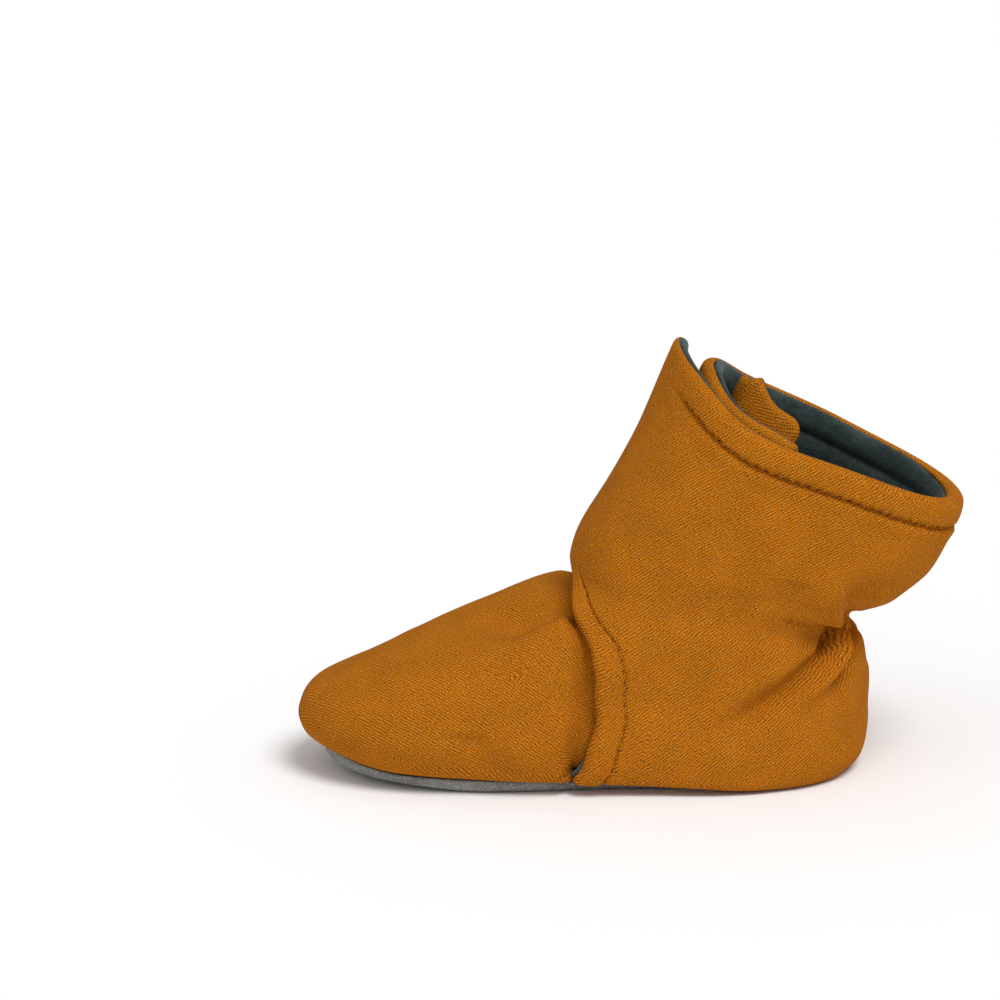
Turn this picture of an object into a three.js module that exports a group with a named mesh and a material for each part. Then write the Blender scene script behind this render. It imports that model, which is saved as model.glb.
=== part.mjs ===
// A baby's soft bootie slipper for the right foot, sewn from padded knit.
// Toe along +X, the inner (medial) side along +Y, up along +Z, in millimetres.
// The origin is on the floor under the middle of the heel.
import * as THREE from 'three';

// Driving dimensions
const FOOT_LENGTH = 110;      // back of the heel to the tip of the toe
const HEEL_SEAT = 24;         // back of the heel to the origin
const BALL_WIDTH = 56;        // across the upper at the ball
const INSTEP_HEIGHT = 40;     // floor to the bend where the foot meets the shaft
const SHAFT_RISE = 44;        // that bend to the top corner of the outer flap
const SHAFT_WIDTH = 46;       // across the shaft
const WALL = 3.0;             // knit, padding and lining together
const HEM_WIDTH = 5.5;        // folded hem from an edge to its line of stitches
const HEM_STEP = 0.5;         // how far a hem stands above the cloth beside it
const ARCH_DEPTH = 1.5;       // hollow on the inner side of the foot
const TOE_DRIFT = 2.0;        // the toe lies this far to the inner side
const LAYER_GAP = 0.5;        // between cloths that lie on each other
const TONGUE_GAP = 1.4;       // between the tongue and the flap over it
const SOLE_THICKNESS = 2.4;   // at the middle of the sole
const SOLE_TUCK = 1.4;        // the flat underside stops this far inside the seam
const TOE_SPRING = 2.6;       // the underside's lift at the tip of the toe
const INSOLE_THICKNESS = 2.0;
const TAPE_THICKNESS = 0.9;   // each half of the hook and loop fastening
const TAPE_GAP = 0.5;         // between a tape and what is next to it
const FLAP_FLARE = 1.0;       // the outer flap's corner stands off this far
const COLLAR_DIP = 2.0;       // the collar's sides hang this far below its front and back
const TONGUE_LEAN = 4.0;      // the tongue's top leans this far into the shoe
const TONGUE_RISE = 6.0;      // its inner side stands this far above the collar's slope

const DEGREE = Math.PI / 180;
const FLAP_DROP = WALL + 2 * TAPE_THICKNESS + 3 * TAPE_GAP;   // outer flap to inner flap

// Sections of the last, from the sole seam up to the collar. Each one is an oval in a
// plane that leans back with height. frontX and backX are shares of FOOT_LENGTH from the
// back of the heel. The heights of the foot's rows are shares of INSTEP_HEIGHT, and those
// of the shaft's rows are shares of SHAFT_RISE above it. ball and heel are half widths as
// shares of half BALL_WIDTH, or of half SHAFT_WIDTH in the shaft.
const FOOT_ROWS = [
  { frontX: 0.964, frontZ: 0.100, backX: 0.088, backZ: 0.030, ball: 0.87, heel: 0.79 },
  { frontX: 0.985, frontZ: 0.135, backX: 0.038, backZ: 0.008, ball: 0.925, heel: 0.94 },
  { frontX: 0.997, frontZ: 0.200, backX: 0.010, backZ: 0.070, ball: 0.975, heel: 0.97 },
  { frontX: 1.000, frontZ: 0.290, backX: 0.000, backZ: 0.200, ball: 1.00, heel: 0.97 },
  { frontX: 0.976, frontZ: 0.410, backX: 0.000, backZ: 0.325, ball: 0.98, heel: 0.94 },
  { frontX: 0.900, frontZ: 0.510, backX: 0.000, backZ: 0.438, ball: 0.95, heel: 0.90 },
  { frontX: 0.775, frontZ: 0.670, backX: 0.004, backZ: 0.538, ball: 0.91, heel: 0.87 },
  { frontX: 0.650, frontZ: 0.815, backX: 0.011, backZ: 0.630, ball: 0.87, heel: 0.84 },
];
const SHAFT_ROWS = [
  { frontX: 0.545, frontZ: -0.050, backX: 0.026, backZ: -0.258, ball: 1.00, heel: 0.96 },
  { frontX: 0.526, frontZ: 0.060, backX: -0.006, backZ: -0.200, ball: 1.00, heel: 0.98 },
  { frontX: 0.502, frontZ: 0.185, backX: -0.058, backZ: -0.130, ball: 1.03, heel: 1.03 },
  { frontX: 0.456, frontZ: 0.370, backX: -0.105, backZ: -0.020, ball: 1.05, heel: 1.05 },
  { frontX: 0.398, frontZ: 0.620, backX: -0.138, backZ: 0.140, ball: 1.03, heel: 1.03 },
  { frontX: 0.334, frontZ: 0.960, backX: -0.156, backZ: 0.310, ball: 0.98, heel: 0.96 },
];

// Where the pieces end on each of those rows, in degrees about the oval, 0 at the toe, 90 on
// the inner side and 180 at the heel. inner and outer are the wrap's two front edges, and
// toeInner and toeOuter the sides of the toe piece, which lie under them.
const EDGE_ROWS = [
  { inner: 88, outer: 288, toeInner: 91.5, toeOuter: -75 },
  { inner: 89, outer: 288, toeInner: 93.5, toeOuter: -76 },
  { inner: 91, outer: 287, toeInner: 96.5, toeOuter: -77.5 },
  { inner: 93, outer: 287, toeInner: 99, toeOuter: -79 },
  { inner: 92, outer: 288, toeInner: 103, toeOuter: -82 },
  { inner: 88, outer: 292, toeInner: 100, toeOuter: -80 },
  { inner: 78, outer: 302, toeInner: 94, toeOuter: -74 },
  { inner: 59, outer: 319, toeInner: 82, toeOuter: -62 },
  { inner: 26, outer: 344, toeInner: 67, toeOuter: -54 },
  { inner: 0, outer: 370, toeInner: 60, toeOuter: -50 },
  { inner: -8, outer: 398, toeInner: 62, toeOuter: -48 },
  { inner: -10, outer: 420, toeInner: 68, toeOuter: -46 },
  { inner: -12, outer: 435, toeInner: 76, toeOuter: -45 },
  { inner: -14, outer: 443, toeInner: 82, toeOuter: -45 },
];
const INSTEP_ROW = FOOT_ROWS.length;   // first row of the shaft, where the elastic pulls in
const TOP_ROW = FOOT_ROWS.length + SHAFT_ROWS.length - 1;
const WIDEST_ROW = 3;                  // the foot's widest row, which the rows below curl in from
const SQUARENESS = { shoe: 0.20, heel: 0.38 };   // how much fuller than ellipses the sections are
const SEAM_SQUEEZE = 0.6;              // the sole seam presses the cloths to this share of their height
const ARCH = { middle: -0.12, reach: 0.38 };   // along the oval, 1 at the toe and -1 at the heel

// Soft troughs that the elastic and the bend pull into the wrap. Each runs from one place
// to another, given as an angle about the oval and a row. width is in degrees, and depth is
// the share of WALL at its deeper end, the first. It fades to nothing at the second.
const WRAP_FOLDS = [
  { angle: 146, row: 8.0, toAngle: 118, toRow: 3.6, width: 9, depth: 1.00 },
  { angle: 164, row: 8.0, toAngle: 158, toRow: 4.8, width: 6, depth: 0.72 },
  { angle: 180, row: 8.0, toAngle: 182, toRow: 5.2, width: 6, depth: 0.53 },
  { angle: 198, row: 8.0, toAngle: 204, toRow: 4.6, width: 7, depth: 0.72 },
  { angle: 216, row: 8.0, toAngle: 228, toRow: 3.8, width: 8, depth: 0.86 },
  { angle: 150, row: 8.0, toAngle: 136, toRow: 11.2, width: 8, depth: 0.86 },
  { angle: 176, row: 8.0, toAngle: 172, toRow: 11.0, width: 8, depth: 0.67 },
  { angle: 200, row: 8.0, toAngle: 208, toRow: 11.4, width: 8, depth: 0.86 },
  { angle: 224, row: 8.0, toAngle: 238, toRow: 10.8, width: 8, depth: 0.86 },
];
// In the toe piece, the hollow below the throat and a crease beside the flap
const TOE_FOLDS = [
  { angle: 30, row: 7.8, toAngle: 8, toRow: 5.6, width: 15, depth: 0.80 },
  { angle: 66, row: 6.4, toAngle: 52, toRow: 3.4, width: 8, depth: 0.30 },
];
// The elastic across the back of the ankle: degrees, share of WALL, rows up and down
const ELASTIC = { from: 122, to: 238, fade: 14, depth: 0.47, reach: 0.7 };

// Small tools

const lerp = (a, b, t) => a + (b - a) * t;

function smooth(a, b, x) {
  const t = Math.min(Math.max((x - a) / (b - a), 0), 1);
  return t * t * (3 - 2 * t);
}

function curveThrough(values, place) {
  const last = values.length - 1;
  const i = Math.min(Math.max(Math.floor(place), 0), last - 1);
  const t = place - i;
  const p1 = values[i];
  const p2 = values[i + 1];
  const p0 = i > 0 ? values[i - 1] : 2 * p1 - p2;
  const p3 = i + 1 < last ? values[i + 2] : 2 * p2 - p1;
  const bend = 2 * p0 - 5 * p1 + 4 * p2 - p3 + t * (3 * (p1 - p2) + p3 - p0);
  return p1 + 0.5 * t * (p2 - p0 + t * bend);
}

// The last

function sizedRow(row, inShaft) {
  const halfWidth = (inShaft ? SHAFT_WIDTH : BALL_WIDTH) / 2;
  const height = (share) => (inShaft ? INSTEP_HEIGHT + share * SHAFT_RISE : share * INSTEP_HEIGHT);
  return {
    frontX: row.frontX * FOOT_LENGTH - HEEL_SEAT,
    backX: row.backX * FOOT_LENGTH - HEEL_SEAT,
    frontZ: height(row.frontZ),
    backZ: height(row.backZ),
    ball: row.ball * halfWidth,
    heel: row.heel * halfWidth,
  };
}

const ROWS = [
  ...FOOT_ROWS.map((row) => sizedRow(row, false)),
  ...SHAFT_ROWS.map((row) => sizedRow(row, true)),
];
const at = (name, row) => curveThrough(ROWS.map((each) => each[name]), row);
const edge = (name, row) => curveThrough(EDGE_ROWS.map((each) => each[name]), row) * DEGREE;

function lastPoint(angle, row) {
  const along = Math.cos(angle);
  const side = Math.sin(angle);
  const footShare = 1 - smooth(INSTEP_ROW - 3, INSTEP_ROW, row);
  const half = lerp(at('heel', row), at('ball', row), smooth(-0.6, 0.4, along));
  const atHeel = footShare * smooth(0, -0.5, along);
  const fullness = 1 + lerp(SQUARENESS.shoe, SQUARENESS.heel, atHeel) * along * along;
  const hollow = Math.exp(-(((along - ARCH.middle) / ARCH.reach) ** 2));
  const arch = ARCH_DEPTH * footShare * Math.max(side, 0) * hollow;
  const drift = TOE_DRIFT * footShare * smooth(0.1, 1, along);
  const middle = 0.5 * (1 + along);
  const dip = COLLAR_DIP * side * side * smooth(INSTEP_ROW + 2, TOP_ROW, row);
  return new THREE.Vector3(
    lerp(at('backX', row), at('frontX', row), middle),
    half * side * fullness - arch + drift,
    lerp(at('backZ', row), at('frontZ', row), middle) - dip,
  );
}

// Unit normal of the last, pointing out of the shoe
function outward(angle, row) {
  const step = 0.01;
  const alongAngle = lastPoint(angle + step, row).sub(lastPoint(angle - step, row));
  const alongRow = lastPoint(angle, Math.min(row + step, TOP_ROW));
  alongRow.sub(lastPoint(angle, Math.max(row - step, 0)));
  return alongAngle.cross(alongRow).normalize();
}

const levelInward = (angle, row) => outward(angle, row).setZ(0).normalize().negate();

// Where the foot curls in to its seam, depth runs inward and up, so that the layers never cross
function shellPoint(angle, row, depth) {
  const inward = outward(angle, row).negate();
  const curl = 1 - smooth(WIDEST_ROW - 0.5, WIDEST_ROW + 1.5, row);
  const curled = levelInward(angle, Math.max(row, WIDEST_ROW)).setZ(SEAM_SQUEEZE);
  inward.lerp(curled, curl);
  return lastPoint(angle, row).addScaledVector(inward, depth);
}

// The wrap: heel, shaft and both flaps in one cloth

// Ahead of the outer flap the inner one drops under it, and everything inside drops too
function innerDrop(angle, row) {
  const turned = smooth(-100 * DEGREE, -45 * DEGREE, angle);
  return FLAP_DROP * turned * smooth(INSTEP_ROW - 0.8, INSTEP_ROW + 1, row);
}

function foldDepth(folds, angle, row) {
  let depth = 0;
  for (const fold of folds) {
    const t = (row - fold.row) / (fold.toRow - fold.row);
    const middle = lerp(fold.angle, fold.toAngle, Math.max(t, 0)) * DEGREE;
    const width = fold.width * DEGREE * lerp(0.8, 1.6, Math.max(t, 0));
    const fade = (1 - smooth(0.1, 1, t)) * smooth(-0.15, 0, t);
    depth += WALL * fold.depth * fade * Math.exp(-(((angle - middle) / width) ** 2));
  }
  return depth;
}

function elasticDepth(angle, row) {
  const { from, to, fade } = ELASTIC;
  const pull = smooth(from, from + fade, angle / DEGREE) * smooth(to, to - fade, angle / DEGREE);
  return WALL * ELASTIC.depth * pull * Math.exp(-(((row - INSTEP_ROW) / ELASTIC.reach) ** 2));
}

// Depth of the wrap's outside. angle runs from the inner front edge, round the heel, to the
// outer front edge, and past INNER_FLAP_FROM the cloth is the inner flap
const INNER_FLAP_FROM = 252 * DEGREE;

function wrapDepth(angle, row) {
  const pulled = foldDepth(WRAP_FOLDS, angle, row) + elasticDepth(angle, row);
  if (angle > INNER_FLAP_FROM) return pulled + innerDrop(angle - 2 * Math.PI, row);
  const corner = smooth(45 * DEGREE, -14 * DEGREE, angle) * smooth(TOP_ROW - 2.2, TOP_ROW, row);
  return pulled - FLAP_FLARE * corner;
}

const wrapPoint = (angle, row, depth) => shellPoint(angle, row, wrapDepth(angle, row) + depth);

// How many rows, or radians, make one millimetre of cloth there
const PROBE = 0.02;
const rowsPerMm = (angle, row) =>
  PROBE / wrapPoint(angle, row, 0).distanceTo(wrapPoint(angle, row - PROBE, 0));
const radiansPerMm = (angle, row) =>
  PROBE / wrapPoint(angle + PROBE / 2, row, 0).distanceTo(wrapPoint(angle - PROBE / 2, row, 0));

// The outer flap's rim is cut lower on the inner side, so that the inner flap shows over it
const RIM_CUT = { middle: 60, reach: 28, rows: 0.2 };   // degrees, degrees, rows at its deepest

function rimRow(angle) {
  const away = (angle / DEGREE - RIM_CUT.middle) / RIM_CUT.reach;
  return TOP_ROW - RIM_CUT.rows * Math.exp(-(away ** 2));
}

// Lines of the meshes: a hem's edge, both sides of the step at its stitches, and the cloth between
const STEP_HALF = 0.3;
const HEM_STOPS = [0, HEM_WIDTH / 2, HEM_WIDTH - STEP_HALF, HEM_WIDTH + STEP_HALF];   // mm from an edge
const HEM_LINES = HEM_STOPS.length - 1;
const WRAP_STEPS = 46;                  // between the two front hems
const WRAP_COLUMNS = WRAP_STEPS + 1 + 2 * HEM_LINES;
const HEEL_SPREAD = 250 * DEGREE;       // columns are closer within this
const BODY_ROWS = [
  0, 0.5, 1, 1.5, 2, 2.5, 3, 4, 5, 5.7, 6.3, 6.8, 7.2, 7.5, 7.75, 8, 8.25, 8.5, 8.75, 9, 9.4, 9.9,
  10.4, 10.9, 11.4, 11.9,
];
const BELOW_HEM = HEM_WIDTH / 2;        // from the hem to its next line

function wrapAngle(column, row) {
  const first = edge('inner', row);
  const last = edge('outer', row);
  const fromEnd = WRAP_COLUMNS - 1 - column;
  if (column < HEM_LINES) return first + HEM_STOPS[column] * radiansPerMm(first, row);
  if (fromEnd < HEM_LINES) return last - HEM_STOPS[fromEnd] * radiansPerMm(last, row);
  const share = (column - HEM_LINES) / WRAP_STEPS;
  const bandIn = HEM_STOPS[HEM_LINES] * radiansPerMm(first, row);
  const bandOut = HEM_STOPS[HEM_LINES] * radiansPerMm(last, row);
  const even = lerp(first + bandIn, last - bandOut, share);
  const crowded = lerp(even, Math.PI + (share - 0.5) * HEEL_SPREAD, 0.5);
  return lerp(even, crowded, smooth(0, 0.15, share) * smooth(1, 0.85, share));
}

const RIM_STOPS = [...HEM_STOPS, HEM_STOPS[HEM_LINES] + BELOW_HEM];
const WRAP_LINES = BODY_ROWS.length + RIM_STOPS.length;

function wrapCloth(column, line) {
  const fromRim = RIM_STOPS[WRAP_LINES - 1 - line];
  let row = BODY_ROWS[line];
  if (line >= BODY_ROWS.length) {
    const rim = rimRow(wrapAngle(column, TOP_ROW));
    row = rim - fromRim * rowsPerMm(wrapAngle(column, rim), rim);
  }
  const fromSide = Math.min(column, WRAP_COLUMNS - 1 - column);
  const inHem = fromSide < HEM_LINES || fromRim < HEM_WIDTH;
  return { angle: wrapAngle(column, row), row, raise: inHem ? HEM_STEP : 0 };
}

// The toe piece, whose top end is the tongue inside the shaft

// It dips under each edge of the wrap, more steeply beside the sole. dipWidth is the width of
// the slope, and the dip is at its full depth edgeClear from the wrap's edge
const fromSeam = (low, high, row) => lerp(low, high, smooth(0, WIDEST_ROW, row)) * DEGREE;
const dipWidth = (row) => fromSeam(5, 15, row);
const edgeClear = (row) => fromSeam(1, 3, row);

function toePoint(angle, row, depth) {
  const innerEdge = edge('inner', row) - edgeClear(row);
  const outerEdge = edge('outer', row) - 2 * Math.PI + edgeClear(row);
  const inner = smooth(innerEdge - dipWidth(row), innerEdge, angle);
  const outer = smooth(outerEdge + dipWidth(row), outerEdge, angle);
  const under = Math.max(inner, outer, smooth(INSTEP_ROW - 0.8, INSTEP_ROW + 0.6, row));
  const gap = lerp(LAYER_GAP, TONGUE_GAP, smooth(INSTEP_ROW - 0.8, INSTEP_ROW + 0.4, row));
  const lean = TONGUE_LEAN * smooth(INSTEP_ROW + 1.5, TOP_ROW, row);
  const outside = innerDrop(angle, row) + (WALL + gap) * under + foldDepth(TOE_FOLDS, angle, row);
  const point = shellPoint(angle, row, outside + lean + depth);
  point.z += TONGUE_RISE * smooth(INSTEP_ROW + 3, TOP_ROW, row) * smooth(0, 75 * DEGREE, angle);
  return point;
}

const TOE_COLUMNS = 31;
const DIP_COLUMNS = 4;         // in each dip
const TONGUE_TOP = 13;
const TOE_LINES = [...BODY_ROWS, 12.4, 12.7, TONGUE_TOP];
const TONGUE_ROUNDING = 0.6;   // rows by which the tongue's top corners are lower

// Beside the foot the columns follow the dips, and in the tongue they are even
function toeAngle(column, row) {
  const even = lerp(edge('toeOuter', row), edge('toeInner', row), column / (TOE_COLUMNS - 1));
  const outerDip = edge('outer', row) - 2 * Math.PI + edgeClear(row);
  const innerDip = edge('inner', row) - edgeClear(row);
  const width = dipWidth(row);
  const fromEnd = TOE_COLUMNS - 1 - column;
  let fitted = even;
  if (column > 0 && column <= DIP_COLUMNS) {
    fitted = outerDip + (width * (column - 1)) / DIP_COLUMNS;
  } else if (fromEnd > 0 && fromEnd <= DIP_COLUMNS) {
    fitted = innerDip - (width * (fromEnd - 1)) / DIP_COLUMNS;
  } else if (fromEnd > 0 && column > 0) {
    const share = (column - DIP_COLUMNS - 1) / (TOE_COLUMNS - 3 - 2 * DIP_COLUMNS);
    fitted = lerp(outerDip + width, innerDip - width, share);
  }
  return lerp(fitted, even, smooth(6, 7.75, row));
}

function toeCloth(column, line) {
  const corner = Math.abs((2 * column) / (TOE_COLUMNS - 1) - 1) ** 6;
  const row = TOE_LINES[line] - TONGUE_ROUNDING * corner * smooth(10, TONGUE_TOP, TOE_LINES[line]);
  return { angle: toeAngle(column, row), row, raise: 0 };
}

// Solids

function solid(points, faces) {
  const geometry = new THREE.BufferGeometry().setFromPoints(points);
  geometry.setIndex(faces);
  geometry.computeVertexNormals();
  return geometry;
}

// A cloth: a grid on its outside, the same grid thickness deeper, and its four edges
function clothSolid(pointAt, place, columns, lines, thickness) {
  const points = [];
  for (const inside of [0, 1]) {
    for (let line = 0; line < lines; line += 1) {
      for (let column = 0; column < columns; column += 1) {
        const { angle, row, raise } = place(column, line);
        points.push(pointAt(angle, row, inside ? thickness : -raise));
      }
    }
  }
  const faces = [];
  const id = (layer, line, column) => (layer * lines + line) * columns + column;
  const quad = (a, b, c, d) => faces.push(a, b, c, a, c, d);
  const far = columns - 1;
  const top = lines - 1;
  for (let line = 0; line < top; line += 1) {
    for (let column = 0; column < far; column += 1) {
      const next = column + 1;
      const above = line + 1;
      quad(id(0, line, column), id(0, line, next), id(0, above, next), id(0, above, column));
      quad(id(1, line, column), id(1, above, column), id(1, above, next), id(1, line, next));
    }
    quad(id(0, line, 0), id(0, line + 1, 0), id(1, line + 1, 0), id(1, line, 0));
    quad(id(0, line + 1, far), id(0, line, far), id(1, line, far), id(1, line + 1, far));
  }
  for (let column = 0; column < far; column += 1) {
    const next = column + 1;
    quad(id(0, 0, next), id(0, 0, column), id(1, 0, column), id(1, 0, next));
    quad(id(0, top, column), id(0, top, next), id(1, top, next), id(1, top, column));
  }
  return solid(points, faces);
}

// Rings from the bottom up, each a list of points about Z, counted from the toe. Both ends
// are closed by rungs between its two sides
function ringSolid(rings) {
  const count = rings[0].length;
  const faces = [];
  for (let ring = 0; ring + 1 < rings.length; ring += 1) {
    for (let i = 0; i < count; i += 1) {
      const a = ring * count + i;
      const b = ring * count + ((i + 1) % count);
      faces.push(a, b, b + count, a, b + count, a + count);
    }
  }
  const top = (rings.length - 1) * count;
  for (let i = 0; i < count / 2; i += 1) {
    const left = [i, i + 1];
    const right = [(count - i) % count, count - i - 1];
    if (i > 0) faces.push(left[0], right[0], left[1], top + left[0], top + left[1], top + right[0]);
    if (left[1] !== right[1]) {
      faces.push(left[1], right[0], right[1], top + left[1], top + right[1], top + right[0]);
    }
  }
  return solid(rings.flat(), faces);
}

// The sole and the insole

const SOLE_SIDES = 56;
const SPRING_FROM = 0.86;   // the sole leaves the floor past this share of FOOT_LENGTH

function toeLift(point) {
  const share = (point.x + HEEL_SEAT) / FOOT_LENGTH;
  return TOE_SPRING * Math.max((share - SPRING_FROM) / (1 - SPRING_FROM), 0) ** 2;
}

// A ring inside the sole seam; height takes the seam's point and the ring's own
function soleRing(inset, height) {
  const ring = [];
  for (let i = 0; i < SOLE_SIDES; i += 1) {
    const angle = (2 * Math.PI * i) / SOLE_SIDES;
    const seam = lastPoint(angle, 0);
    const point = seam.clone().addScaledVector(levelInward(angle, WIDEST_ROW), inset);
    point.z = height(seam, point);
    ring.push(point);
  }
  return ring;
}

const RIM_INSET = LAYER_GAP;                   // the outsole's edge lies this far inside the seam
const CHEEK_INSET = lerp(RIM_INSET, SOLE_TUCK, 0.35);
const FULL_INSET = RIM_INSET + 1.5 * WALL;     // from here in, the outsole has its full thickness

function outsole() {
  const rim = (seam) => seam.z - LAYER_GAP;
  return ringSolid([
    soleRing(SOLE_TUCK, (seam, point) => toeLift(point)),
    soleRing(CHEEK_INSET, (seam, point) => lerp(toeLift(point), rim(seam), 0.55)),
    soleRing(RIM_INSET, rim),
    soleRing(FULL_INSET, (seam, point) => SOLE_THICKNESS + toeLift(point)),
  ]);
}

const INSOLE_INSET = 1.6 * WALL;               // clear of the wall where it curls in
const INSOLE_BEVEL = 0.25 * INSOLE_THICKNESS;

function insole() {
  const floor = (seam, point) => SOLE_THICKNESS + LAYER_GAP + toeLift(point);
  const above = (rise) => (seam, point) => floor(seam, point) + rise;
  return ringSolid([
    soleRing(INSOLE_INSET + INSOLE_BEVEL, floor),
    soleRing(INSOLE_INSET, above(INSOLE_BEVEL)),
    soleRing(INSOLE_INSET, above(INSOLE_THICKNESS - INSOLE_BEVEL)),
    soleRing(INSOLE_INSET + INSOLE_BEVEL, above(INSOLE_THICKNESS)),
  ]);
}

// The hook and loop tapes lie between the two flaps, over these degrees and rows
const TAPE = { from: 6, to: 34, low: 10.8, high: 12.2, columns: 12, lines: 8 };

function tape(turn, depth) {
  const place = (column, line) => ({
    angle: lerp(TAPE.from, TAPE.to, column / (TAPE.columns - 1)) * DEGREE + turn,
    row: lerp(TAPE.low, TAPE.high, line / (TAPE.lines - 1)),
    raise: 0,
  });
  const pointAt = (angle, row, more) => wrapPoint(angle, row, depth + more);
  return clothSolid(pointAt, place, TAPE.columns, TAPE.lines, TAPE_THICKNESS);
}

const wrap = () => clothSolid(wrapPoint, wrapCloth, WRAP_COLUMNS, WRAP_LINES, WALL);
const toePiece = () => clothSolid(toePoint, toeCloth, TOE_COLUMNS, TOE_LINES.length, WALL);
const hookTape = () => tape(0, WALL + TAPE_GAP);
const loopTape = () => tape(2 * Math.PI, -TAPE_GAP - TAPE_THICKNESS);

// Materials and the shoe

const finish = (color, roughness) => new THREE.MeshStandardMaterial({ color, roughness, metalness: 0 });
const KNIT = finish('#b06a1c', 0.95);
const GRIP = finish('#5c6160', 0.7);
const FLEECE = finish('#26302f', 1.0);
const TAPE_BLACK = finish('#16191c', 0.8);

function piece(name, geometry, material) {
  const mesh = new THREE.Mesh(geometry, material);
  mesh.name = name;
  return mesh;
}

const bootie = new THREE.Group();
bootie.add(
  piece('outsole', outsole(), GRIP),
  piece('insole', insole(), FLEECE),
  piece('upper_wrap', wrap(), KNIT),
  piece('upper_toe_tongue', toePiece(), KNIT),
  piece('hook_tape', hookTape(), TAPE_BLACK),
  piece('loop_tape', loopTape(), TAPE_BLACK),
);

export default bootie;
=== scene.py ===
import math

import bpy
import numpy as np
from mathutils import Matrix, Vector, noise


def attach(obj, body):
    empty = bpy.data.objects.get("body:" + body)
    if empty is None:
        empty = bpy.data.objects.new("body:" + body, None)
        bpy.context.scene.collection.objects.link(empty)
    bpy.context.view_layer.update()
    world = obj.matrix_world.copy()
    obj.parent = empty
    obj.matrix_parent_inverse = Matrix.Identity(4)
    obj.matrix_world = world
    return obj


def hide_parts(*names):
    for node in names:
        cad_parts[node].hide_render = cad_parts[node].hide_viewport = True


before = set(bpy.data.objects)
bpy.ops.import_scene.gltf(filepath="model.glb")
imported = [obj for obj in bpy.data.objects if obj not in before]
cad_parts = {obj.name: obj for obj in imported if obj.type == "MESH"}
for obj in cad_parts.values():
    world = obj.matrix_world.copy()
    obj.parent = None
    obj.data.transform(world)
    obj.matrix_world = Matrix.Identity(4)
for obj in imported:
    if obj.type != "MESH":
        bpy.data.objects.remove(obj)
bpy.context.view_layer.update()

MM = 0.001

# Driving dimensions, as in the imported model
FOOT_LENGTH = 110
HEEL_SEAT = 24
BALL_WIDTH = 56
INSTEP_HEIGHT = 40
SHAFT_RISE = 44
SHAFT_WIDTH = 46
WALL = 3.0
HEM_WIDTH = 5.5
HEM_STEP = 0.5
ARCH_DEPTH = 1.5
TOE_DRIFT = 2.0
LAYER_GAP = 0.5
TONGUE_GAP = 1.4
SOLE_THICKNESS = 2.4
SOLE_TUCK = 1.4
TOE_SPRING = 2.6
INSOLE_THICKNESS = 2.0
TAPE_THICKNESS = 0.9
TAPE_GAP = 0.5
FLAP_FLARE = 1.0
COLLAR_DIP = 2.0
TONGUE_LEAN = 4.0
TONGUE_RISE = 6.0
FLAP_DROP = WALL + 2 * TAPE_THICKNESS + 3 * TAPE_GAP

# Sections of the last: shares of FOOT_LENGTH along X, of INSTEP_HEIGHT or of SHAFT_RISE
# above it along Z, and half widths as shares of half BALL_WIDTH or half SHAFT_WIDTH
ROW_KEYS = ("frontX", "frontZ", "backX", "backZ", "ball", "heel")
FOOT_ROWS = (
    (0.964, 0.100, 0.088, 0.030, 0.87, 0.79),
    (0.985, 0.135, 0.038, 0.008, 0.925, 0.94),
    (0.997, 0.200, 0.010, 0.070, 0.975, 0.97),
    (1.000, 0.290, 0.000, 0.200, 1.00, 0.97),
    (0.976, 0.410, 0.000, 0.325, 0.98, 0.94),
    (0.900, 0.510, 0.000, 0.438, 0.95, 0.90),
    (0.775, 0.670, 0.004, 0.538, 0.91, 0.87),
    (0.650, 0.815, 0.011, 0.630, 0.87, 0.84),
)
SHAFT_ROWS = (
    (0.545, -0.050, 0.026, -0.258, 1.00, 0.96),
    (0.526, 0.060, -0.006, -0.200, 1.00, 0.98),
    (0.502, 0.185, -0.058, -0.130, 1.03, 1.03),
    (0.456, 0.370, -0.105, -0.020, 1.05, 1.05),
    (0.398, 0.620, -0.138, 0.140, 1.03, 1.03),
    (0.334, 0.960, -0.156, 0.310, 0.98, 0.96),
)
# Where the pieces end on each row, in degrees about the oval, 0 at the toe, 90 on the inner side
EDGE_KEYS = ("inner", "outer", "toeInner", "toeOuter")
EDGE_ROWS = (
    (91, 288, 95, -75),
    (89, 288, 94, -76),
    (90, 287, 96, -77.5),
    (91, 287, 98, -79),
    (91, 288, 102, -82),
    (86, 292, 99, -80),
    (76, 302, 93, -74),
    (58, 310, 82, -62),
    (24, 335, 67, -54),
    (4, 363, 60, -50),
    (-8, 395, 62, -48),
    (-10, 420, 68, -46),
    (-12, 435, 80, -45),
    (-14, 443, 88, -45),
)
INSTEP_ROW = len(FOOT_ROWS)
TOP_ROW = len(FOOT_ROWS) + len(SHAFT_ROWS) - 1
WIDEST_ROW = 3
SQUARENESS = {"shoe": 0.20, "heel": 0.38}
SEAM_SQUEEZE = 0.6
ARCH = {"middle": -0.12, "reach": 0.38}

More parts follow.
